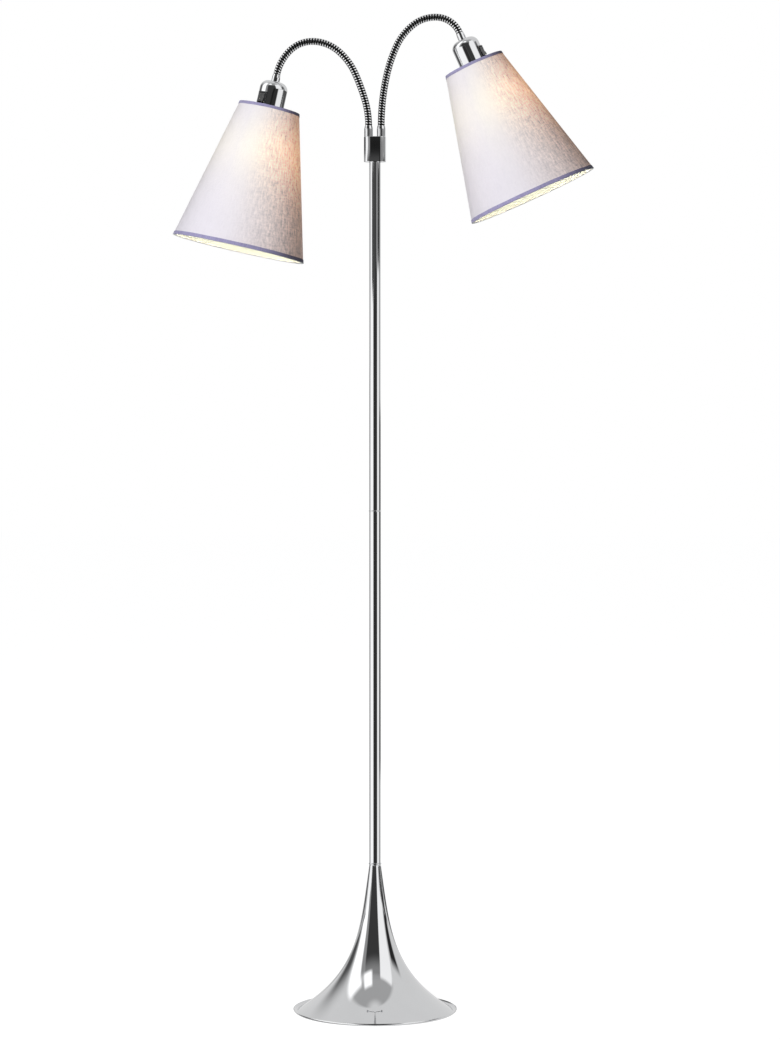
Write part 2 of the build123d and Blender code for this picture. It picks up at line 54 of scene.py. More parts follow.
JOINTS = {joint["name"]: joint for joint in frame["joints"]}
ARMS = ("left", "right")
LINKS = 6

# ---------------------------------------------------------------- sizes, in millimetres
BASE_HEIGHT = 222.0
BASE_NECK_RADIUS = 8.6
BASE_CONE = 30.9            # part of the radius that grows evenly down the trumpet
BASE_FLARE = 79.4           # part that grows as a power of the depth
BASE_FLARE_POWER = 4.12
BASE_BUNCHING = 1.25        # spacing of the outline's points, 1 being even
BASE_WALL = 1.5
RIM_START = 1.4             # end of the flare, over the floor
RIM_LIP_WIDTH = 6.0
RIM_LIP_HEIGHT = 2.8
RIM_EDGE_RADIUS = 0.45
ROD_HOLE_RADIUS = 5.2

RING_HEIGHT = 2.0
RING_RADIUS = 9.6
POLE_RADIUS = 8.6
POLE_BORE_RADIUS = 7.1
LOWER_POLE_LENGTH = 529.5
UPPER_POLE_LENGTH = 521.0   # up to the collar's underside
SEAM_RING_HEIGHT = 1.5
SEAM_RING_RADIUS = 9.3
POLE_START = BASE_HEIGHT + RING_HEIGHT
SEAM_START = POLE_START + LOWER_POLE_LENGTH
SEAM_END = SEAM_START + SEAM_RING_HEIGHT
COLLAR_START = SEAM_END + UPPER_POLE_LENGTH
COLLAR_HEIGHT = 38.0
COLLAR_WIDTH = 33.0
COLLAR_DEPTH = 20.0
COLLAR_EDGE = 0.8
UPPER_POLE_END = COLLAR_START + 12.0

FERRULE_RADIUS = 6.5
FERRULE_TIP_RADIUS = 5.8
FERRULE_HEIGHT = 16.0
FERRULE_TAPER = 4.0
FERRULE_SUNK = 1.0          # inside the collar
NECK_RADIUS = 5.4
NECK_GAP = 0.1              # between the neck and the ferrule round it
RIB_DEPTH = 0.85
RIB_PITCH = 3.9             # the solids have 2.89, too fine to show in the picture
STEPS_PER_RIB = 10
NECK_INTO_FERRULE = 2.0
NECK_INTO_SLEEVE = 7.0

# Heights from here on run down a lampholder from its pivot.
SLEEVE_START = 1.0
SLEEVE_LENGTH = 12.0
SLEEVE_RADIUS = 6.2
SLEEVE_TIP_RADIUS = 5.7
SLEEVE_TAPER = 5.0
SLEEVE_GAP = 0.05           # between the neck and the sleeve round it
CUP_RADIUS = 21.0
CUP_WALL = 1.0
CUP_SHOULDER = 12.0         # rounder than the solid's 9, as in the photograph
CUP_LENGTH = 42.0
CUP_END = SLEEVE_LENGTH + CUP_LENGTH
CUP_HOLE_RADIUS = 4.85
WINDOW_WIDTH = 15.2         # opening in the cup round the switch
WINDOW_HEIGHT = 19.2
WINDOW_FROM_TOP = 19.2
WINDOW_STEPS = 8
SWITCH_AZIMUTH = {"left": -40.0, "right": 62.0}

INSERT_RADIUS = 19.95
INSERT_START = CUP_END - 3.2
INSERT_LENGTH = 27.0
INSERT_BORE_RADIUS = 13.4
INSERT_FLOOR = 3.0
INSERT_THREAD_PITCH = 2.3
INSERT_THREAD_DEPTH = 0.55
NUT_START = 56.15
NUT_LENGTH = 5.0
NUT_RADIUS = 24.0
NUT_GRIPS = 32
NUT_GRIP_DEPTH = 0.5
CAP_RADIUS = 13.2
CAP_WALL = 0.75
CAP_FOOT = INSERT_START + INSERT_FLOOR + 2.4
CAP_FOOT_RADIUS = 5.0
CAP_GLASS_RADIUS = 10.8     # black glass between the foot and the thread
CAP_NECK_RADIUS = 12.1
CAP_SHOULDER = 6.0
CAP_LENGTH = 24.0
CAP_END = CAP_FOOT + CAP_LENGTH
CAP_THREAD_PITCH = 3.6
CAP_THREAD_DEPTH = 0.9
BULB_RADIUS = 30.0
BULB_LENGTH = 105.0         # with its cap
BULB_CENTRE = CAP_FOOT + BULB_LENGTH - BULB_RADIUS
BULB_NECK_RADIUS = CAP_RADIUS - CAP_WALL
GLASS_START = CAP_END - 5.0

SHADE_START = CUP_END - 2.0
SHADE_HEIGHT = 215.0
SHADE_TOP_RADIUS = 45.5
SHADE_BOTTOM_RADIUS = 99.5
SHADE_WALL = 0.8
SLOPE = math.atan2(SHADE_BOTTOM_RADIUS - SHADE_TOP_RADIUS, SHADE_HEIGHT)
SLANT = SHADE_HEIGHT / math.cos(SLOPE)
CLOTH_INSET = 0.1           # from the tape's fold to the cloth's edge
BINDING_WIDTH = 5.0
TOP_BINDING_WIDTH = 4.0     # the solid has 5
BINDING_THICKNESS = 0.5
TAPE_GAP = 0.05
TAPE_WANDER = ((0.12, 5, 1), (0.08, 13, 2))     # uneven legs: height, waves round, shift
SEAM_STEP = 0.25            # glued overlap: how far it stands out, its width and its sloping edge
SEAM_WIDTH = 10.0
SEAM_EDGE = 1.0

# How nodes that keep their own shape are dressed, in metres and degrees
WELD_DISTANCE = 2e-6
CREASE_ANGLE = 32.0

# The camera and the studio, in metres and degrees
CAMERA_PLACE = (0.0225, -4.576, 0.8816)
CAMERA_TILT = 88.235
CAMERA_LENS = 105.58
AMBIENT = 0.11
KEY_PLACE = (-1.9, -3.16, 2.2)
KEY_AIM = (0, 0, 1.25)
KEY_SIZE = 1.5
KEY_POWER = 152
KEY_COLOUR = (0.95, 0.97, 1.0)
BULB_POWER = 0.85
BULB_COLOUR = (1.0, 0.88, 0.70)
BULB_GLOWING = 0.6          # share of its radius that the light comes from
FLOOR_HALF = 20.0
FLOOR_LEVEL = -0.0001       # just under the pad, which stands on it
FLOOR_GLOW = 1.30
FLOOR_GLOW_SHARE = 0.75

# What polished surfaces see of the studio: grey of the walls, then soft boxes and black flags laid over
# them as ((first, last azimuth), (low, high elevation), soft edges of both, grey), in degrees. Azimuths
# are from the front, towards +X.
STUDIO_GREY = 0.78
STUDIO_PATCHES = (
    ((-97, 76), (56, 84), (14, 9), 0.45),       # dim part of the ceiling over the camera
    ((-143, -110), (-90, 34), (20, 34), 0.09),  # flag, rear left
    ((-103, -60), (-90, 61), (12, 8), 1.50),    # tall soft box, left
    ((-64, -46), (-90, 52), (8, 14), 0.34),     # its unlit edge
    ((-47, 24), (-90, 58), (7, 10), 0.28),      # room behind the camera
    ((-47, 24), (-90, 42), (7, 18), 0.05),      # its dark lower part
    ((25, 73), (-90, 58), (6, 6), 1.15),        # soft box, right
    ((80, 106), (-90, 33), (9, 14), 0.025),     # flag, right
    ((-50, -14), (51, 67), (12, 6), 1.50),      # lamp over the camera
    # below, what upright surfaces see: the room at the height of the camera
    ((-32, 44), (-90, 5.7), (10, 0.6), 0.035),  # dark room behind the camera
    ((-95, -34), (-90, 5.7), (10, 0.6), 1.25),  # soft box, left
    ((46, 91), (-90, 5.7), (10, 0.6), 1.10),    # soft box, right
    ((-165, -97), (1, 5.7), (10, 0.6), 0.50),   # grey wall, left
    ((92, 155), (-6.5, 0.3), (12, 0.6), 0.10),  # flag, right
    # a rail across that room, with a second one over it
    ((-62, 4), (2.5, 5.0), (7, 0.5), 0.08),     # rail, left and middle
    ((2, 19), (3.0, 5.0), (4, 0.5), 0.015),     # its black middle
    ((19, 62), (3.0, 5.7), (5, 0.4), 0.28),     # its lit part, right
    ((62, 112), (3.0, 4.95), (6, 0.4), 0.04),   # its end, far right
    ((62, 95), (4.95, 5.7), (6, 0.3), 0.36),    # upper rail, far right
    ((-45, -10), (5.0, 5.7), (8, 0.3), 0.34),   # upper rail, left
    ((-10, 16), (5.0, 5.7), (4, 0.3), 0.015),   # upper rail, middle
    ((-160, -92), (5.0, 5.7), (8, 0.3), 0.08),  # upper rail, far left
)


# ---------------------------------------------------------------- meshes
def mesh_of(name, points, faces):
    """A piece with smooth faces that all look outwards."""
    mesh = bpy.data.meshes.new(name)
    mesh.from_pydata(points, [], faces)
    work = bmesh.new()
    work.from_mesh(mesh)
    bmesh.ops.remove_doubles(work, verts=work.verts, dist=1e-7)
    bmesh.ops.recalc_face_normals(work, faces=work.faces)
    work.to_mesh(mesh)
    work.free()
    mesh.shade_smooth()
    piece = bpy.data.objects.new(name, mesh)
    bpy.context.scene.collection.objects.link(piece)
    return piece


def skin(name, rings, loop=False, caps=False, leave_out=None):
    """A mesh through rings of points; leave_out says which faces, by ring and place, aren't made."""
    count = len(rings[0])
    points = [point for ring in rings for point in ring]
    faces = []
    for i in range(len(rings) if loop else len(rings) - 1):
        j = (i + 1) % len(rings)
        for k in range(count):
            if leave_out and leave_out(i, k):
                continue
            m = (k + 1) % count
            faces.append((i * count + k, i * count + m, j * count + m, j * count + k))
    if caps:
        faces.append(tuple(range(count))[::-1])
        faces.append(tuple(range(len(points) - count, len(points))))
    return mesh_of(name, points, faces)


def turned(radius, angle, height):
    """A point at an angle round Z, from millimetres."""
    return Vector((radius * math.cos(angle), radius * math.sin(angle), height)) * MM


def circle(radius, height, segments):
    """A ring of points round Z, from millimetres."""
    return [turned(radius, math.tau * k / segments, height) for k in range(segments)]


def lathe(name, outline, segments=96):
    """A solid of revolution about Z from a closed outline of (radius, height) points."""
    piece = skin(name, [circle(radius, height, segments) for radius, height in outline], loop=True)
    even_shading(piece)
    return piece


def rounded(outline, radius, steps=3):
    """A closed outline with its corners eased over a distance from each corner."""
    eased = []
    for i, corner in enumerate(outline):
        here = Vector(corner)
        before, after = Vector(outline[i - 1]) - here, Vector(outline[(i + 1) % len(outline)]) - here
        reach = min(radius, before.length / 2, after.length / 2)
        start, end = here + before.normalized() * reach, here + after.normalized() * reach
        for step in range(steps + 1):
            u = step / steps
            eased.append(tuple((1 - u) ** 2 * start + 2 * u * (1 - u) * here + u ** 2 * end))
    return eased


def arc(centre, radius, start, end, steps):
    """Points on an arc, with angles in degrees from the radius's direction."""
    angles = [math.radians(start + (end - start) * i / steps) for i in range(steps + 1)]
    return [(centre[0] + radius * math.cos(a), centre[1] + radius * math.sin(a)) for a in angles]


def even_shading(piece):
    """Shades the broad faces flat and leaves the bend to the narrow ones at the edges."""
    shading = piece.modifiers.new("Even shading", "WEIGHTED_NORMAL")
    shading.weight = 100
    shading.keep_sharp = True


def ease_edges(piece, width, angle=35):
    bevel = piece.modifiers.new("Eased edges", "BEVEL")
    bevel.width = width * MM
    bevel.segments = 2
    bevel.limit_method = "ANGLE"
    bevel.angle_limit = math.radians(angle)
    even_shading(piece)


def set_out(piece, body, look, node):
    """Gives a piece its material and its body, and hides the node that it stands for."""
    if not piece.data.materials:
        piece.data.materials.append(look)
    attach(piece, body)
    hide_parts(node)


# ---------------------------------------------------------------- materials
def feed(tree, socket, value):
    """Gives an input a plain value, or links it to the output that is passed as its value."""
    if isinstance(value, bpy.types.NodeSocket):
        tree.links.new(value, socket)
    else:
        socket.default_value = value


def add(tree, kind, inputs=None, **settings):
    made = tree.nodes.new("ShaderNode" + kind)
    for key, value in settings.items():
        setattr(made, key, value)
    for key, value in (inputs or {}).items():
        feed(tree, made.inputs[key], value)
    return made


def maths(tree, operation, first, second=0.0, third=0.0):
    return add(tree, "Math", {0: first, 1: second, 2: third}, operation=operation).outputs[0]


def ramp(tree, value, low, high, to_low=0.0, to_high=1.0):
    inputs = {"Value": value, "From Min": low, "From Max": high, "To Min": to_low, "To Max": to_high}
    return add(tree, "MapRange", inputs).outputs["Result"]


def blend_colours(tree, share, first, second):
    mix = add(tree, "Mix", data_type="RGBA")
    for number, value in ((0, share), (6, first), (7, second)):
        feed(tree, mix.inputs[number], value)
    return mix.outputs[2]


def times(tree, colour, value):
    """A colour multiplied by a value that varies over the surface."""
    grey = add(tree, "CombineColor", {0: value, 1: value, 2: value}).outputs[0]
    mix = add(tree, "Mix", data_type="RGBA", blend_type="MULTIPLY")
    for number, source in ((0, 1.0), (6, colour), (7, grey)):
        feed(tree, mix.inputs[number], source)
    return mix.outputs[2]


def noise(tree, vector, scale, detail=2.0, roughness=0.5):
    inputs = {"Vector": vector, "Scale": scale, "Detail": detail, "Roughness": roughness}
    return add(tree, "TexNoise", inputs).outputs["Fac"]


def material(name, **plain):
    """A material with one Principled shader, whose uniform values are set on it, and its node tree."""
    made = bpy.data.materials.new(name)
    made.use_nodes = True
    tree = made.node_tree
    shader = tree.nodes["Principled BSDF"]
    for key, value in plain.items():
        shader.inputs[key.replace("_", " ")].default_value = value
    return made, tree, shader


def object_place(tree):
    return add(tree, "TexCoord").outputs["Object"]


def bump(tree, shader, height, distance, strength=1.0):
    made = add(tree, "Bump", {"Height": height, "Distance": distance * MM, "Strength": strength})
    tree.links.new(made.outputs["Normal"], shader.inputs["Normal"])


def metal(name, dark, light, low, high, scale, scratches=0.0):
    """Metal whose colour and polish vary a little, with fine wiping marks."""
    made, tree, shader = material(name, Metallic=1.0)
    place = object_place(tree)
    cloud = noise(tree, place, scale, 4.0)
    tree.links.new(blend_colours(tree, cloud, dark, light), shader.inputs["Base Color"])
    fine = noise(tree, place, scale * 14, 3.0)
    polish = maths(tree, "MULTIPLY_ADD", cloud, 0.7, maths(tree, "MULTIPLY", fine, 0.3))
    tree.links.new(ramp(tree, polish, 0.3, 0.7, low, high), shader.inputs["Roughness"])
    if scratches:
        bump(tree, shader, fine, scratches)
    return made


def wound_metal():
    """Chromed wire, with painted shade that darkens the grooves between its turns."""
    made, tree, shader = material("wound_chrome", Metallic=1.0)
    place = object_place(tree)
    cloud = noise(tree, place, 60.0, 4.0)
    colour = blend_colours(tree, cloud, (0.84, 0.845, 0.855, 1), (0.95, 0.955, 0.965, 1))
    height = add(tree, "Attribute", attribute_name="crest").outputs["Fac"]
    # painted shade: dark in the grooves, bright on the crests
    painted_groove_shade = ramp(tree, height, 0.84, 0.97)         # dark groove, bright crest
    tree.links.new(times(tree, colour, painted_groove_shade), shader.inputs["Base Color"])
    tree.links.new(ramp(tree, cloud, 0.3, 0.7, 0.08, 0.18), shader.inputs["Roughness"])
    return made


def plastic(name, dark, light, roughness, grain):
    """Smooth plastic or lacquer with a fine moulded grain."""
    made, tree, shader = material(name)
    place = object_place(tree)
    cloud = noise(tree, place, 150.0, 3.0)
    tree.links.new(blend_colours(tree, cloud, dark, light), shader.inputs["Base Color"])
    tree.links.new(ramp(tree, cloud, 0.3, 0.7, roughness, roughness + 0.12), shader.inputs["Roughness"])
    bump(tree, shader, noise(tree, place, 2600.0), grain)
    return made


def rough_stuff(name, dark, light, scale, roughness, depth):
    """Felt, rubber and cast iron: a mottled, uneven, dull surface."""
    made, tree, shader = material(name, Roughness=roughness)
    place = object_place(tree)
    cloud = noise(tree, place, scale, 6.0, 0.7)
    tree.links.new(blend_colours(tree, ramp(tree, cloud, 0.35, 0.65), dark, light),
                   shader.inputs["Base Color"])
    bump(tree, shader, cloud, depth)
    return made


def round_the_shade(tree):
    """(direction round the axis, distance from the axis, distance along it) on a lampholder's pieces."""
    xyz = add(tree, "SeparateXYZ", {0: object_place(tree)})
    flat = add(tree, "CombineXYZ", {0: xyz.outputs[0], 1: xyz.outputs[1]}).outputs[0]
    direction = add(tree, "VectorMath", {0: flat}, operation="NORMALIZE").outputs[0]
    distance = add(tree, "VectorMath", {0: flat}, operation="LENGTH").outputs["Value"]
    return direction, distance, xyz.outputs[2], xyz


def streaks(tree, direction, along, round_scale, along_scale, detail=2.0):
    """Noise drawn out round the axis or along it, with no seam."""
    wide = add(tree, "VectorMath", {0: direction, "Scale": round_scale}, operation="SCALE").outputs[0]
    height = add(tree, "CombineXYZ", {2: maths(tree, "MULTIPLY", along, along_scale)}).outputs[0]
    place = add(tree, "VectorMath", {0: wide, 1: height}, operation="ADD").outputs[0]
    return noise(tree, place, 1.0, detail)


def threads(tree, xyz, along, count, pitch):
    """Height of a plain weave: count threads run along the axis, and threads a pitch apart go round."""
    turn = maths(tree, "ARCTAN2", xyz.outputs[1], xyz.outputs[0])
    warp = maths(tree, "SINE", maths(tree, "MULTIPLY", turn, float(count)))
    weft = maths(tree, "SINE", maths(tree, "MULTIPLY", along, math.tau / (pitch * MM)))
    return maths(tree, "MULTIPLY_ADD", warp, weft, maths(tree, "ADD", warp, weft))


def slub_tone(tree, direction, along):
    """Slubs of the linen, about 0.5: long ones down the slope, short ones round it and fine ones."""
    long_slubs = streaks(tree, direction, along, 30.0, 100.0)
    cross_slubs = streaks(tree, direction, along, 10.0, 430.0)
    fine_slubs = streaks(tree, direction, along, 62.0, 260.0)
    coarse = maths(tree, "MULTIPLY_ADD", cross_slubs, 0.36, maths(tree, "MULTIPLY", long_slubs, 0.64))
    return maths(tree, "MULTIPLY_ADD", fine_slubs, 0.3, maths(tree, "MULTIPLY", coarse, 0.7))


def light_through(tree, distance, along):
    """Light of the bulb on the shade, by its distance and slant: 1 where it falls square from 66 mm."""
    near = 66 * MM
    below = maths(tree, "SUBTRACT", along, BULB_CENTRE * MM)
    gap_squared = maths(tree, "MULTIPLY_ADD", below, below, maths(tree, "POWER", distance, 2.0))
    gap = maths(tree, "SQRT", gap_squared)
    across = maths(tree, "MULTIPLY", distance, math.cos(SLOPE))
    facing = maths(tree, "MULTIPLY_ADD", below, -math.sin(SLOPE), across)
    falling = maths(tree, "DIVIDE", facing, maths(tree, "POWER", gap, 3.0))
    return maths(tree, "MULTIPLY", falling, near ** 2)


def linen():
    """Lilac linen with slubs both ways, warmer and grainier in painted shade away from the key light; it
    glows where the bulb inside is near.
    """
    made, tree, shader = material("linen", Roughness=0.92, Sheen_Weight=0.25, Sheen_Roughness=0.4)
    direction, distance, along, xyz = round_the_shade(tree)
    side, depth = add(tree, "SeparateXYZ", {0: direction}).outputs[:2]     # side: -1 right, 1 left
    back = ramp(tree, depth, 0.05, 0.75)
    # painted shade: 1 on the right, away from the key light, low on the lit left
    shadow_side = ramp(tree, side, -0.85, 0.12, 1.0, 0.07)
    tone = slub_tone(tree, direction, along)
    # slub contrast is painted: strong in the shade on the right, weaker on the lit left and behind
    grain = maths(tree, "MULTIPLY", maths(tree, "SUBTRACT", tone, 0.5), shadow_side)
    grain = maths(tree, "MULTIPLY", grain, ramp(tree, back, 0.0, 1.0, 1.0, 0.35))

    cloud = streaks(tree, direction, along, 2.5, 14.0)
    lilac = blend_colours(tree, cloud, (0.66, 0.63, 0.69, 1), (0.70, 0.665, 0.715, 1))
    # painted shade: the colour turns warm on the side away from the key light
    painted_shade_warmth = maths(tree, "MULTIPLY", shadow_side, 0.9)
    colour = blend_colours(tree, painted_shade_warmth, lilac, (0.72, 0.635, 0.62, 1))
    colour = times(tree, colour, maths(tree, "MULTIPLY_ADD", grain, 2.2, 1.0))
    tree.links.new(colour, shader.inputs["Base Color"])
    thread = threads(tree, xyz, along, 640, 0.72)
    height = maths(tree, "MULTIPLY_ADD", thread, 0.1, maths(tree, "MULTIPLY", tone, 2.6))
    bump(tree, shader, height, 0.3, 0.8)

    # painted light: emission stands in for the bulb's light shining through the cloth
    direct = light_through(tree, distance, along)
    lit = maths(tree, "MULTIPLY_ADD", direct, 0.48, 0.08)
    # painted glow is weaker on the left side, where the key light falls
    lit = maths(tree, "MULTIPLY", lit, ramp(tree, side, -0.8, 0.5, 0.95, 0.27))
    # more painted glow behind
    lit_behind = maths(tree, "MULTIPLY_ADD", direct, 0.30, 0.22)
    lit = maths(tree, "MULTIPLY_ADD", back, lit_behind, lit)
    through = maths(tree, "MAXIMUM", maths(tree, "MULTIPLY_ADD", grain, 6.0, 1.0), 0.1)
    orange, yellow, cream = (1.0, 0.50, 0.21, 1), (1.0, 0.88, 0.17, 1), (1.0, 0.83, 0.60, 1)
    tint = blend_colours(tree, ramp(tree, side, -0.75, 0.35), orange, yellow)
    tint = blend_colours(tree, back, tint, cream)
    glow = times(tree, tint, maths(tree, "MULTIPLY", lit, through))
    tree.links.new(glow, shader.inputs["Emission Color"])
    shader.inputs["Emission Strength"].default_value = 1.0
    return made


def lining():
    """Cream sheet that stiffens the linen, seen inside the shade."""
    made, tree, shader = material("lining", Roughness=0.6)
    direction, _, along, _ = round_the_shade(tree)
    cloud = streaks(tree, direction, along, 20.0, 30.0, 4.0)
    tree.links.new(blend_colours(tree, cloud, (0.70, 0.73, 0.68, 1), (0.78, 0.81, 0.76, 1)),
                   shader.inputs["Base Color"])
    bump(tree, shader, cloud, 0.05)
    return made


def tape():
    """Woven ribbon: fine ribs across its width, on a lampholder's pieces, with painted shade at its right
    end.
    """
    made, tree, shader = material("binding_tape", Roughness=0.85, Sheen_Weight=0.2, Sheen_Roughness=0.4)
    direction, _, along, xyz = round_the_shade(tree)
    cloud = streaks(tree, direction, along, 60.0, 120.0, 3.0)
    ribs = threads(tree, xyz, along, 720, 0.5)
    tone = maths(tree, "MULTIPLY_ADD", ribs, 0.08, cloud)
    share = ramp(tree, tone, 0.3, 0.7)
    colour = blend_colours(tree, share, (0.27, 0.245, 0.40, 1), (0.36, 0.335, 0.50, 1))
    side = add(tree, "SeparateXYZ", {0: direction}).outputs[0]
    # painted shade, away from the key light
    shading = ramp(tree, side, -0.95, -0.45, 0.35, 1.0)     # darker at its right end
    tree.links.new(times(tree, colour, shading), shader.inputs["Base Color"])
    bump(tree, shader, ribs, 0.06, 0.7)
    return made


def frosted_glass():
    """Lit glass of a bulb."""
    made, tree, shader = material("frosted_glass", Roughness=0.35)
    cloud = noise(tree, object_place(tree), 90.0, 3.0)
    tree.links.new(blend_colours(tree, cloud, (0.92, 0.88, 0.80, 1), (1.0, 0.97, 0.92, 1)),
                   shader.inputs["Base Color"])
    tree.links.new(blend_colours(tree, cloud, (1.0, 0.78, 0.50, 1), (1.0, 0.84, 0.60, 1)),
                   shader.inputs["Emission Color"])
    shader.inputs["Emission Strength"].default_value = 1.6
    bump(tree, shader, cloud, 0.02)
    return made


chrome = metal("chrome", (0.70, 0.705, 0.715, 1), (0.755, 0.76, 0.77, 1), 0.015, 0.05, 22.0)
wound_chrome = wound_metal()
zinc = metal("zinc_plate", (0.52, 0.52, 0.50, 1), (0.66, 0.66, 0.63, 1), 0.28, 0.5, 80.0, 0.02)
cap_metal = metal("cap_metal", (0.66, 0.66, 0.64, 1), (0.80, 0.80, 0.78, 1), 0.2, 0.38, 90.0, 0.02)
brass = metal("brass", (0.62, 0.44, 0.18, 1), (0.80, 0.62, 0.30, 1), 0.2, 0.4, 120.0, 0.02)
felt = rough_stuff("felt", (0.025, 0.025, 0.028, 1), (0.075, 0.075, 0.08, 1), 900.0, 0.97, 0.5)
cast_iron = rough_stuff("cast_iron", (0.03, 0.03, 0.032, 1), (0.09, 0.09, 0.092, 1), 260.0, 0.7, 0.4)
rubber = rough_stuff("gland_rubber", (0.012, 0.012, 0.013, 1), (0.03, 0.03, 0.03, 1), 500.0, 0.75, 0.08)
gloss_black = plastic("gloss_black", (0.006, 0.006, 0.007, 1), (0.014, 0.014, 0.015, 1), 0.16, 0.006)
case_black = plastic("case_black", (0.010, 0.010, 0.011, 1), (0.022, 0.022, 0.024, 1), 0.42, 0.015)
socket_black = plastic("socket_black", (0.012, 0.011, 0.010, 1), (0.028, 0.026, 0.024, 1), 0.34, 0.012)
white_lacquer = plastic("white_lacquer", (0.76, 0.75, 0.72, 1), (0.84, 0.83, 0.80, 1), 0.3, 0.01)
linen_cloth, lining_sheet, ribbon, frosted = linen(), lining(), tape(), frosted_glass()


# ---------------------------------------------------------------- base and pole
def flare_radius(height):
    depth = 1 - height / BASE_HEIGHT
    return BASE_NECK_RADIUS + BASE_CONE * depth + BASE_FLARE * depth ** BASE_FLARE_POWER


def flare_normal(height):
    """Outward direction square to the trumpet, as (radius, height)."""
    depth = 1 - height / BASE_HEIGHT
    slope = (BASE_CONE + BASE_FLARE * BASE_FLARE_POWER * depth ** (BASE_FLARE_POWER - 1)) / BASE_HEIGHT
    return Vector((1, slope)).normalized()


def curve_between(start, out_of, end, into, steps):
    """Points of a cubic that leaves start and reaches end in given directions."""
    points = []
    for i in range(steps + 1):
        u = i / steps
        weights = (2 * u ** 3 - 3 * u ** 2 + 1, u ** 3 - 2 * u ** 2 + u,
                   3 * u ** 2 - 2 * u ** 3, u ** 3 - u ** 2)
        parts = [weight * part for weight, part in zip(weights, (start, out_of, end, into))]
        points.append(tuple(sum(parts, Vector((0, 0)))))
    return points


def turned_up_lip(foot):
    """Outline of the lip from the flare's end over its edge to its underside, as two lists of points."""
    normal = flare_normal(RIM_START)
    reach = math.hypot(RIM_LIP_WIDTH, RIM_LIP_HEIGHT)
    down_the_flare, nearly_up = Vector((normal.y, -normal.x)), Vector((0.4, 1))
    lip_top = foot + Vector((RIM_LIP_WIDTH, RIM_LIP_HEIGHT))
    lip = curve_between(foot, down_the_flare * reach, lip_top, nearly_up * reach, 12)
    edge = arc(lip_top + Vector((0.3, -0.35)), RIM_EDGE_RADIUS, 140, -20, 5)
    lowest = foot + Vector((RIM_LIP_WIDTH * 0.45, -RIM_START))
    under = curve_between(Vector(edge[-1]), Vector((0, -4)), lowest, Vector((-5, 0)), 6)
    return lip[1:] + edge[1:], under[1:]


def trumpet():
    """Spun shell with a turned-up lip, with its wall and its open underside."""
    steps, inner_steps = 110, 40
    drop = [1 - (1 - i / steps) ** BASE_BUNCHING for i in range(steps + 1)]
    heights = [BASE_HEIGHT + (RIM_START - BASE_HEIGHT) * share for share in drop]
    outer = [(flare_radius(z), z) for z in heights]
    foot = Vector(outer[-1])
    lip, under = turned_up_lip(foot)
    heel = [(foot.x - BASE_WALL, RIM_START - BASE_WALL / 2)]
    inner = []
    for i in range(inner_steps + 1):
        z = RIM_START + BASE_WALL + (BASE_HEIGHT - 2 * BASE_WALL - RIM_START) * i / inner_steps
        normal = flare_normal(z)
        inner.append((flare_radius(z) - BASE_WALL * math.hypot(1, normal.y / normal.x), z))
    top = [(ROD_HOLE_RADIUS, BASE_HEIGHT - BASE_WALL), (ROD_HOLE_RADIUS, BASE_HEIGHT)]
    return lathe("base_trumpet", outer + lip + under + heel + inner + top, segments=256)


def stand_tube(name, radius, bore, start, end, ease):
    outline = [(bore, start), (radius, start), (radius, end), (bore, end)]
    return lathe(name, rounded(outline, ease), segments=128)


def oval_ring(inset, height, steps=24):
    """A ring of points round the collar's oval, set in from its surface."""
    radius = COLLAR_DEPTH / 2
    half = COLLAR_WIDTH / 2 - radius
    points = []
    for side, start in ((1, -90), (-1, 90)):
        for i in range(steps + 1):
            angle = math.radians(start + 180 * i / steps)
            points.append(Vector((side * half + (radius - inset) * math.cos(angle),
                                  (radius - inset) * math.sin(angle), height)) * MM)
    return points


def collar():
    top = COLLAR_START + COLLAR_HEIGHT
    eased = [(COLLAR_EDGE * (1 - math.sin(math.radians(a))), COLLAR_EDGE * (1 - math.cos(math.radians(a))))
             for a in (0, 22.5, 45, 67.5, 90)]
    rings = [oval_ring(inset, COLLAR_START + rise) for inset, rise in eased]
    rings += [oval_ring(inset, top - rise) for inset, rise in reversed(eased)]
    piece = skin("arm_collar_block", rings, caps=True)
    even_shading(piece)
    return piece


def build_stand():
    set_out(trumpet(), "stand", chrome, "base_shell")
    for name, radius, bore, start, end, ease, node in (
        ("base_bead", RING_RADIUS, ROD_HOLE_RADIUS, BASE_HEIGHT, POLE_START, 0.8, "base_ring"),
        ("lower_tube", POLE_RADIUS, POLE_BORE_RADIUS, POLE_START, SEAM_START, 0.5, "lower_pole"),
        ("seam_bead", SEAM_RING_RADIUS, POLE_BORE_RADIUS, SEAM_START, SEAM_END, 0.6, "joint_ring"),
        ("upper_tube", POLE_RADIUS, POLE_BORE_RADIUS, SEAM_END, UPPER_POLE_END, 0.5, "upper_pole"),
    ):
        tube = stand_tube(name, radius, bore, start, end, ease)
        set_out(tube, "stand", chrome, node)
    set_out(collar(), "stand", chrome, "arm_collar")


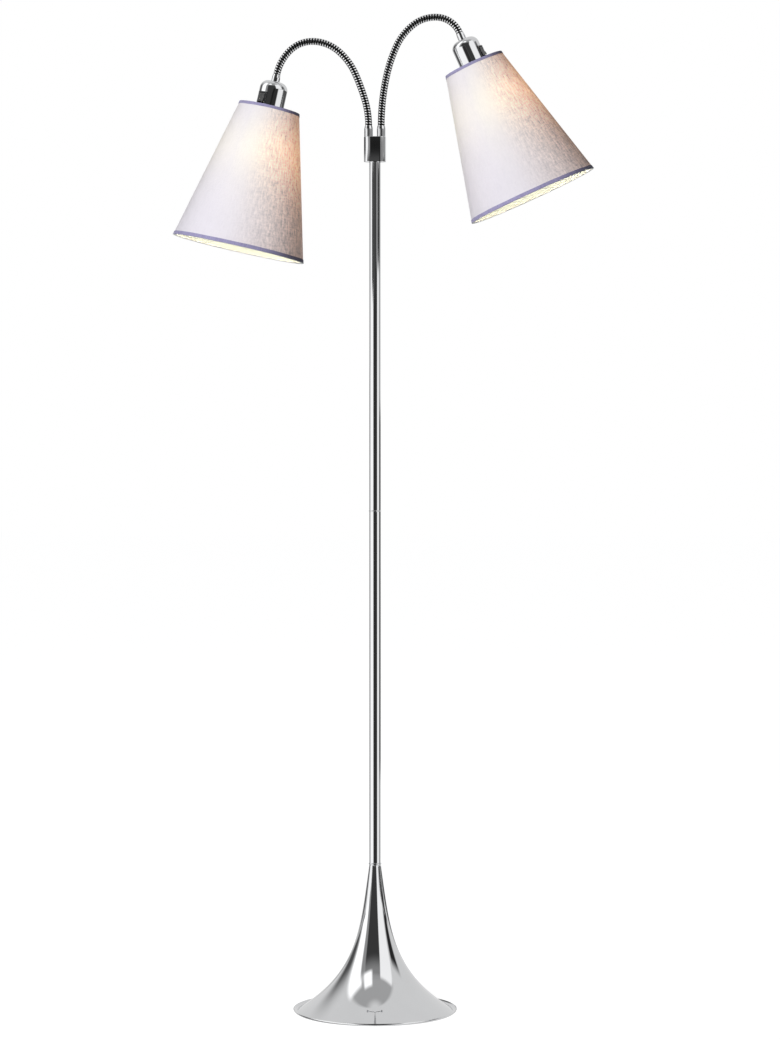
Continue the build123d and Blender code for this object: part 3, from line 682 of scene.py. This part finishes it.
# ---------------------------------------------------------------- goosenecks
class Neck:
    """The smooth line of an arm's gooseneck, worked out from its joints' places."""

    def __init__(self, arm):
        points = [Vector(JOINTS[f"{arm}_neck_swing"]["pos_m"])]
        points += [Vector(JOINTS[f"{arm}_neck_bend_{k}"]["pos_m"]) for k in range(1, LINKS + 1)]
        self.arcs = []
        self.starts = [0.0]
        tangent = Vector((0, 0, 1))
        for here, there in zip(points, points[1:]):
            chord = there - here
            half = tangent.angle(chord)
            length = chord.length * half / math.sin(half)
            outward = (chord - chord.dot(tangent) * tangent).normalized()
            self.arcs.append((here, tangent, outward, length / (2 * half)))
            self.starts.append(self.starts[-1] + length)
            tangent = 2 * tangent.dot(chord) / chord.length_squared * chord - tangent
        self.end, self.way_down = points[-1], tangent

    def at(self, distance):
        """Point and tangent at a distance from the ferrule; past either end the line is straight."""
        if distance < 0:
            return self.arcs[0][0] + self.arcs[0][1] * distance, self.arcs[0][1]
        if distance > self.starts[-1]:
            return self.end + self.way_down * (distance - self.starts[-1]), self.way_down
        number = max(k for k in range(LINKS) if distance >= self.starts[k] - 1e-9)
        here, tangent, outward, radius = self.arcs[number]
        turn = (distance - self.starts[number]) / radius
        point = here + radius * (math.sin(turn) * tangent + (1 - math.cos(turn)) * outward)
        return point, math.cos(turn) * tangent + math.sin(turn) * outward

    def middle(self, number):
        """Distance of the middle of a link, the first being 1."""
        return (self.starts[number - 1] + self.starts[number]) / 2

    def head_place(self):
        """Where the lampholder's own frame lies: its Z runs down the lampholder."""
        side = Vector((0, 1, 0))
        across = side.cross(self.way_down)
        return Matrix.Translation(self.end) @ Matrix((across, side, self.way_down)).transposed().to_4x4()


def crest(distance, turn):
    """Height of the wound surface, from 0 in the groove to 1 on the ridge, which climbs as it turns."""
    phase = (distance / (RIB_PITCH * MM) + turn) % 1.0
    return math.sqrt(max(0.0, 1 - (2 * phase - 1) ** 2))


def neck_ring(neck, distance, segments):
    """A ring of the wound surface: a helical ridge with round crests and narrow grooves."""
    point, tangent = neck.at(distance)
    side = Vector((0, 1, 0))
    up = tangent.cross(side)
    ring = []
    for k in range(segments):
        turn = k / segments
        radius = (NECK_RADIUS - RIB_DEPTH + RIB_DEPTH * crest(distance, turn)) * MM
        ring.append(point + radius * (math.cos(math.tau * turn) * side + math.sin(math.tau * turn) * up))
    return ring


def gooseneck(arm, neck):
    """Six lengths of wound tube, each from one link's middle to the next, over one joint."""
    step = RIB_PITCH * MM / STEPS_PER_RIB
    segments = 40
    for number in range(1, LINKS + 1):
        start = neck.middle(number) if number > 1 else -NECK_INTO_FERRULE * MM
        last = number == LINKS
        end = neck.starts[-1] + NECK_INTO_SLEEVE * MM if last else neck.middle(number + 1)
        count = round((end - start) / step)
        places = [start + (end - start) * i / count for i in range(count + 1)]
        piece = skin(f"{arm}_gooseneck_{number}", [neck_ring(neck, place, segments) for place in places])
        heights = [crest(place, k / segments) for place in places for k in range(segments)]
        piece.data.attributes.new("crest", "FLOAT", "POINT").data.foreach_set("value", heights)
        piece.data.materials.append(wound_chrome)
        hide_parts(f"{arm}_neck_link_{number}")
        neck.at(neck.middle(number))[0]
        neck.at(end)[0]
        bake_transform(piece)


def ferrule(arm, neck):
    """Plain sleeve with a tapered tip; the neck comes out of its shallow socket."""
    top, sunk, socket = FERRULE_HEIGHT, -FERRULE_SUNK, NECK_RADIUS + NECK_GAP
    socket_floor = top - NECK_INTO_FERRULE - 1
    outline = [(0, sunk), (FERRULE_RADIUS, sunk), (FERRULE_RADIUS, top - FERRULE_TAPER),
               (FERRULE_TIP_RADIUS, top), (socket, top), (socket, socket_floor), (0, socket_floor)]
    piece = lathe(f"{arm}_ferrule_sleeve", rounded(outline, 0.35))
    piece.location = neck.arcs[0][0] - Vector((0, 0, FERRULE_HEIGHT * MM))
    set_out(piece, "stand", chrome, f"{arm}_ferrule")


# ---------------------------------------------------------------- lampholders
def sleeve(arm):
    """Plain sleeve with a tapered tip, which the neck goes into; its other end stands in the cup."""
    start, end = SLEEVE_START, SLEEVE_LENGTH
    inner = NECK_RADIUS + SLEEVE_GAP
    outline = [(0, end - 1), (0, end + 1), (SLEEVE_RADIUS, end + 1), (SLEEVE_RADIUS, start + SLEEVE_TAPER),
               (SLEEVE_TIP_RADIUS, start), (inner, start), (inner, end - 1)]
    return lathe(f"{arm}_neck_socket", rounded(outline, 0.3))


def cup(arm):
    """Chromed cup with a rounded shoulder and a window for the switch, cut through its wall."""
    top, bottom = SLEEVE_LENGTH, CUP_END
    window_start = top + WINDOW_FROM_TOP
    window_end = window_start + WINDOW_HEIGHT
    centre = (CUP_RADIUS - CUP_SHOULDER, top + CUP_SHOULDER)
    outer = [(CUP_HOLE_RADIUS, top)] + arc(centre, CUP_SHOULDER, -90, 0, 14)
    outer += [(CUP_RADIUS, z) for z in (window_start, window_end, bottom - 0.4)]
    outer += [(CUP_RADIUS - 0.15, bottom - 0.1), (CUP_RADIUS - 0.4, bottom)]
    inner = [(CUP_RADIUS - CUP_WALL, z) for z in (bottom, window_end, window_start)]
    inner += arc(centre, CUP_SHOULDER - CUP_WALL, 0, -90, 10) + [(CUP_HOLE_RADIUS, top + CUP_WALL)]
    outline = outer + inner
    at_window = [i for i, point in enumerate(outline) if point[1] in (window_start, window_end)]
    out_row, in_row = at_window[0], at_window[-1] - 1

    rest_steps = 112
    half = math.degrees(math.asin(WINDOW_WIDTH / 2 / CUP_RADIUS))
    facing = -90 - SWITCH_AZIMUTH[arm]
    window = [facing - half + 2 * half * i / WINDOW_STEPS for i in range(WINDOW_STEPS + 1)]
    rest = [facing + half + (360 - 2 * half) * i / rest_steps for i in range(1, rest_steps)]
    turns = [math.radians(a) for a in window + rest]
    rings = [[turned(radius, a, z) for a in turns] for radius, z in outline]

    def in_window(row, place):
        return row in (out_row, in_row) and place < WINDOW_STEPS

    piece = skin(f"{arm}_lampholder_cup", rings, loop=True, leave_out=in_window)
    close_window(piece, rings[out_row], rings[out_row + 1], rings[in_row + 1], rings[in_row])
    ease_edges(piece, 0.3, 50)
    return piece


def close_window(piece, out_top, out_bottom, in_top, in_bottom):
    """Faces through the wall along the four sides of the window, which spans the rings' first places."""
    work = bmesh.new()
    work.from_mesh(piece.data)
    finder = {tuple(round(c, 7) for c in v.co): v for v in work.verts}

    def corner(point):
        return finder[tuple(round(c, 7) for c in point)]

    quads = []
    for k in range(WINDOW_STEPS):
        quads.append((out_top[k], out_top[k + 1], in_top[k + 1], in_top[k]))
        quads.append((out_bottom[k], out_bottom[k + 1], in_bottom[k + 1], in_bottom[k]))
    for k in (0, WINDOW_STEPS):
        quads.append((out_top[k], out_bottom[k], in_bottom[k], in_top[k]))
    for quad in quads:
        work.faces.new([corner(point) for point in quad])
    bmesh.ops.recalc_face_normals(work, faces=work.faces)
    for face in work.faces:
        face.smooth = True
    work.to_mesh(piece.data)
    work.free()


def wavy_wall(radius, start, end, pitch, depth, steps=6):
    """Outline of a rolled thread, as rings, from a height to another."""
    count = max(1, round((end - start) / pitch)) * steps
    outline = []
    for i in range(count + 1):
        groove = depth * (0.5 - 0.5 * math.cos(math.tau * i / steps))
        outline.append((radius - groove, start + (end - start) * i / count))
    return outline


def insert(arm):
    """Black insulator with a screw thread outside for the shade's ring."""
    start, end = INSERT_START, INSERT_START + INSERT_LENGTH
    floor = start + INSERT_FLOOR
    outline = [(0, start), (INSERT_RADIUS - 0.2, start)]
    thread = (INSERT_THREAD_PITCH, INSERT_THREAD_DEPTH)
    outline += wavy_wall(INSERT_RADIUS - 0.1, start + 4, end - 2, *thread)
    outline += [(INSERT_RADIUS - 1.0, end), (INSERT_BORE_RADIUS + 0.3, end)]
    outline += [(INSERT_BORE_RADIUS, end - 0.4), (INSERT_BORE_RADIUS, floor), (0, floor)]
    return lathe(f"{arm}_socket_barrel", outline)


def ring_nut(arm):
    """Ring that clamps the shade, with finger grips round its edge."""
    segments = 160
    start, end = NUT_START, NUT_START + NUT_LENGTH
    bore = INSERT_RADIUS + 0.1
    outline = [(bore, start), (NUT_RADIUS, start), (NUT_RADIUS, end), (bore, end)]
    rings = []
    for radius, height in rounded(outline, 0.7):
        grip = NUT_GRIP_DEPTH if radius > NUT_RADIUS - 0.3 else 0.0
        ring = []
        for k in range(segments):
            angle = math.tau * k / segments
            groove = grip * (0.5 + 0.5 * math.cos(NUT_GRIPS * angle))
            ring.append(turned(radius - groove, angle, height))
        rings.append(ring)
    piece = skin(f"{arm}_shade_ring_nut", rings, loop=True)
    even_shading(piece)
    return piece


def lamp_cap(arm):
    """The bulb's screw cap with its rolled thread and a black glass foot round the contact."""
    foot, end, shoulder = CAP_FOOT, CAP_END, CAP_FOOT + CAP_SHOULDER
    outline = [(0, foot), (CAP_FOOT_RADIUS - 1, foot), (CAP_FOOT_RADIUS, foot + 0.8),
               (CAP_GLASS_RADIUS, shoulder - 1.2), (CAP_NECK_RADIUS, shoulder)]
    outline += wavy_wall(CAP_RADIUS, shoulder + 0.6, end - 4, CAP_THREAD_PITCH, CAP_THREAD_DEPTH, 8)
    outline += [(CAP_RADIUS, end - 2), (CAP_RADIUS, end - 0.2), (CAP_RADIUS - 0.5, end), (0, end)]
    return lathe(f"{arm}_bulb_screw_cap", outline, segments=72)


def bulb(arm):
    """Frosted pear-shaped envelope: a straight neck, a hollow arc and a round crown."""
    rise = BULB_CENTRE - CAP_END
    gain = BULB_RADIUS - BULB_NECK_RADIUS
    hollow = (BULB_NECK_RADIUS ** 2 + rise ** 2 - BULB_RADIUS ** 2) / (2 * gain)
    centre = (BULB_NECK_RADIUS + hollow, CAP_END)
    lean = math.degrees(math.atan2(rise, centre[0]))
    outline = [(0, GLASS_START), (BULB_NECK_RADIUS, GLASS_START)]
    outline += arc(centre, hollow, 180, 180 - lean, 16)
    outline += arc((0, BULB_CENTRE), BULB_RADIUS, -lean, 90, 32)[1:]
    piece = lathe(f"{arm}_bulb_envelope", outline, segments=72)
    piece.visible_shadow = False        # the light inside shines through it
    return piece


# ---------------------------------------------------------------- shades
def on_shade(down, out):
    """(radius, height) of a point down the slope from the top edge, and out from the cloth's face."""
    return (SHADE_TOP_RADIUS + down * math.sin(SLOPE) + out * math.cos(SLOPE),
            SHADE_START + down * math.cos(SLOPE) - out * math.sin(SLOPE))


def seam_height(turn, radius):
    """How far the glued overlap at the back stands out, at an angle from the back."""
    from_edge = SEAM_WIDTH / 2 + SEAM_EDGE - abs(turn * radius)
    rise = min(1.0, max(0.0, from_edge / SEAM_EDGE))
    return SEAM_STEP * rise * rise * (3 - 2 * rise)


def shade_cloth(arm):
    """Linen on a stiff lining: one closed cone with a glued overlap at the back."""
    segments, rows = 256, 40
    downs = [CLOTH_INSET + (SLANT - 2 * CLOTH_INSET) * i / rows for i in range(rows + 1)]
    rings = []
    for down, inside in [(down, False) for down in downs] + [(down, True) for down in reversed(downs)]:
        ring = []
        for k in range(segments):
            angle = math.tau * k / segments
            from_back = (angle - math.pi / 2 + math.pi) % math.tau - math.pi
            seam = seam_height(from_back, on_shade(down, 0)[0])
            radius, height = on_shade(down, -SHADE_WALL - seam if inside else seam)
            ring.append(turned(radius, angle, height))
        rings.append(ring)
    piece = skin(f"{arm}_shade_cloth", rings, loop=True)
    piece.data.materials.append(linen_cloth)
    piece.data.materials.append(lining_sheet)
    for face in piece.data.polygons:
        outward = Vector((face.center.x, face.center.y, 0)).dot(face.normal)
        face.material_index = 0 if outward > 0 else 1
    return piece


def tape_ring(arm, name, edge, width):
    """Ribbon folded over an edge of the shade and glued down, a little uneven along its legs."""
    inwards = math.copysign(1, width)
    leg = edge + width
    outside, inside = TAPE_GAP, -SHADE_WALL - TAPE_GAP
    turned_over, fold = edge - inwards * TAPE_GAP, edge - inwards * (TAPE_GAP + BINDING_THICKNESS)
    corners = [(leg, outside), (leg, outside + BINDING_THICKNESS), (fold, outside + BINDING_THICKNESS),
               (fold, inside - BINDING_THICKNESS), (leg, inside - BINDING_THICKNESS), (leg, inside),
               (turned_over, inside), (turned_over, outside)]
    segments = 256
    rings = []
    for down, out in rounded(corners, 0.3):
        ring = []
        for k in range(segments):
            angle = math.tau * k / segments
            wander = sum(high * math.sin(waves * angle + late * edge) for high, waves, late in TAPE_WANDER)
            at_leg_end = abs(down - leg) < 0.5
            radius, height = on_shade(down + wander if at_leg_end else down, out)
            ring.append(turned(radius, angle, height))
        rings.append(ring)
    piece = skin(f"{arm}_{name}", rings, loop=True)
    piece.data.materials.append(ribbon)
    piece.data.materials.append(lining_sheet)
    middle = (on_shade(edge, (outside + inside) / 2)[0] - edge * math.sin(SLOPE)) * MM
    for face in piece.data.polygons:
        cone = (face.center.z - SHADE_START * MM) * math.tan(SLOPE)
        face.material_index = 1 if math.hypot(face.center.x, face.center.y) - cone < middle else 0
    even_shading(piece)
    return piece


def bulb_light(arm, place):
    """The light of the bulb itself, at the middle of the glass."""
    data = bpy.data.lights.new(f"{arm}_bulb_light", "POINT")
    data.energy = BULB_POWER
    data.color = BULB_COLOUR
    data.shadow_soft_size = BULB_GLOWING * BULB_RADIUS * MM
    lamp = bpy.data.objects.new(f"{arm}_bulb_light", data)
    lamp.location = place @ Vector((0, 0, BULB_CENTRE * MM))
    lamp.visible_glossy = False
    bpy.context.scene.collection.objects.link(lamp)
    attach(lamp, f"{arm}_head")


def build_head(arm, place):
    """Everything on an arm's lampholder; of it, polished metal reflects only the chromed pieces."""
    pieces = (
        (sleeve(arm), chrome, "chrome", "neck_sleeve"),
        (cup(arm), chrome, "chrome", "holder_cup"),
        (insert(arm), socket_black, "socket_plastic", "socket_insert"),
        (ring_nut(arm), socket_black, "socket_plastic", "shade_nut"),
        (lamp_cap(arm), cap_metal, "bulb_cap_metal", "bulb_cap"),
        (bulb(arm), frosted, "bulb_frosted", "bulb_glass"),
        (shade_cloth(arm), linen_cloth, "shade_fabric", "shade"),
        (tape_ring(arm, "top_tape", 0, TOP_BINDING_WIDTH), ribbon, "binding_tape", "shade_top_binding"),
        (tape_ring(arm, "bottom_tape", SLANT, -BINDING_WIDTH), ribbon, "binding_tape",
         "shade_bottom_binding"),
    )
    for piece, look, slot_name, node in pieces:
        piece.matrix_world = place
        piece.visible_glossy = look is chrome
        set_out(piece, f"{arm}_head", look, f"{arm}_{node}")
    bulb_light(arm, place)


# ---------------------------------------------------------------- nodes that stay as they are
def dress(node, look, ease=0.0):
    """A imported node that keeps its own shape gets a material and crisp, smooth shading."""
    piece = frame["nodes"][node]
    piece.data.materials.clear()
    piece.data.materials.append(look)
    piece.data.shade_smooth()
    weld = piece.modifiers.new("Joined faces", "WELD")
    weld.merge_threshold = WELD_DISTANCE
    if ease:
        ease_edges(piece, ease)
    else:
        split = piece.modifiers.new("Crisp edges", "EDGE_SPLIT")
        split.split_angle = math.radians(CREASE_ANGLE)
    return piece


def build_kept_nodes():
    """Dresses the rest; polished metal doesn't reflect what hangs under the lit shades."""
    dress("felt_pad", felt)
    dress("base_weight", cast_iron)
    dress("cable_gland", rubber)
    for node in ("tie_rod", "tie_washer", "tie_nut", "pole_plug", "pole_coupler", "collar_screw"):
        dress(node, zinc)
    for arm in ARMS:
        for node, look, slot_name in (("cup_nut", zinc, "zinc_steel"), ("socket_contact", brass, "brass"),
                                      ("shade_spider", white_lacquer, "wire_white"),
                                      ("shade_bottom_wire", white_lacquer, "wire_white")):
            dress(f"{arm}_{node}", look).visible_glossy = False
        dress(f"{arm}_switch_body", case_black, 0.25)
        dress(f"{arm}_rocker", gloss_black, 0.35)


# ---------------------------------------------------------------- studio
def key_light():
    data = bpy.data.lights.new("key", "AREA")
    data.shape = "RECTANGLE"
    data.size = data.size_y = KEY_SIZE
    data.energy = KEY_POWER
    data.color = KEY_COLOUR
    lamp = bpy.data.objects.new("key", data)
    lamp.location = KEY_PLACE
    lamp.rotation_euler = (Vector(KEY_AIM) - Vector(KEY_PLACE)).to_track_quat("-Z", "Y").to_euler()
    lamp.visible_glossy = False
    bpy.context.scene.collection.objects.link(lamp)


def step_up(tree, value, place, soft):
    """0 below a place and 1 above it, with a soft edge in degrees; a negative width turns it round."""
    inputs = {"Value": value, "From Min": place - soft / 2, "From Max": place + soft / 2}
    return add(tree, "MapRange", inputs, interpolation_type="SMOOTHSTEP").outputs["Result"]


def studio_grey(tree):
    """Brightness of the studio in a direction, with its soft boxes and flags."""
    direction = add(tree, "SeparateXYZ", {0: add(tree, "TexCoord").outputs["Generated"]}).outputs
    front = maths(tree, "MULTIPLY", direction[1], -1.0)
    azimuth = maths(tree, "DEGREES", maths(tree, "ARCTAN2", direction[0], front))
    elevation = maths(tree, "DEGREES", maths(tree, "ARCSINE", direction[2]))
    grey = STUDIO_GREY
    for azimuths, elevations, soft, patch in STUDIO_PATCHES:
        share = 1.0
        for value, (low, high), edge in zip((azimuth, elevation), (azimuths, elevations), soft):
            share = maths(tree, "MULTIPLY", share, step_up(tree, value, low, edge))
            share = maths(tree, "MULTIPLY", share, step_up(tree, value, high, -edge))
        change = maths(tree, "SUBTRACT", patch, grey)
        grey = maths(tree, "MULTIPLY_ADD", share, change, grey)
    return grey


def build_world():
    """Even light on dull surfaces, the studio in polished ones and white behind the lamp."""
    world = bpy.data.worlds.new("studio")
    world.use_nodes = True
    tree = world.node_tree
    tree.nodes.clear()
    rays = add(tree, "LightPath").outputs
    ambient = add(tree, "Background", {"Color": (0.93, 0.94, 1.0, 1), "Strength": AMBIENT})
    studio = add(tree, "Background", {"Color": (1, 1, 1, 1), "Strength": studio_grey(tree)})
    white = add(tree, "Background", {"Color": (1, 1, 1, 1), "Strength": 1.0})
    glossy = rays["Is Glossy Ray"]
    around = add(tree, "MixShader", {0: glossy, 1: ambient.outputs[0], 2: studio.outputs[0]})
    seen = maths(tree, "MAXIMUM", rays["Is Camera Ray"], rays["Is Transmission Ray"])
    mix = add(tree, "MixShader", {0: seen, 1: around.outputs[0], 2: white.outputs[0]})
    out = add(tree, "OutputWorld")
    tree.links.new(mix.outputs[0], out.inputs["Surface"])
    bpy.context.scene.world = world


def build_floor():
    """White floor that takes the lamp's shadow."""
    made = bpy.data.materials.new("floor")
    made.use_nodes = True
    tree = made.node_tree
    tree.nodes.clear()
    matt = add(tree, "BsdfDiffuse", {"Color": (0.85, 0.85, 0.85, 1)})
    white = add(tree, "Emission", {"Color": (1, 1, 1, 1), "Strength": FLOOR_GLOW})
    share = maths(tree, "MULTIPLY", add(tree, "LightPath").outputs["Is Camera Ray"], FLOOR_GLOW_SHARE)
    mix = add(tree, "MixShader", {0: share, 1: matt.outputs[0], 2: white.outputs[0]})
    out = add(tree, "OutputMaterial")
    tree.links.new(mix.outputs[0], out.inputs["Surface"])
    sides = ((-1, -1), (1, -1), (1, 1), (-1, 1))
    corners = [(x * FLOOR_HALF, y * FLOOR_HALF, FLOOR_LEVEL) for x, y in sides]
    plane = mesh_of("floor", corners, [(0, 1, 2, 3)])
    plane.data.materials.append(made)
    plane.visible_glossy = False


def build_studio():
    build_world()
    build_floor()
    key_light()
    scene = bpy.context.scene
    scene.view_settings.view_transform = "Standard"
    data = bpy.data.cameras.new("camera")
    data.sensor_width = 36.0
    data.sensor_fit = "AUTO"
    data.lens = CAMERA_LENS
    camera = bpy.data.objects.new("camera", data)
    camera.location = CAMERA_PLACE
    camera.rotation_euler = (math.radians(CAMERA_TILT), 0, 0)
    scene.collection.objects.link(camera)
    scene.camera = camera


build_stand()
for arm_name in ARMS:
    arm_neck = Neck(arm_name)
    ferrule(arm_name, arm_neck)
    gooseneck(arm_name, arm_neck)
    build_head(arm_name, arm_neck.head_place())
build_kept_nodes()
build_studio()
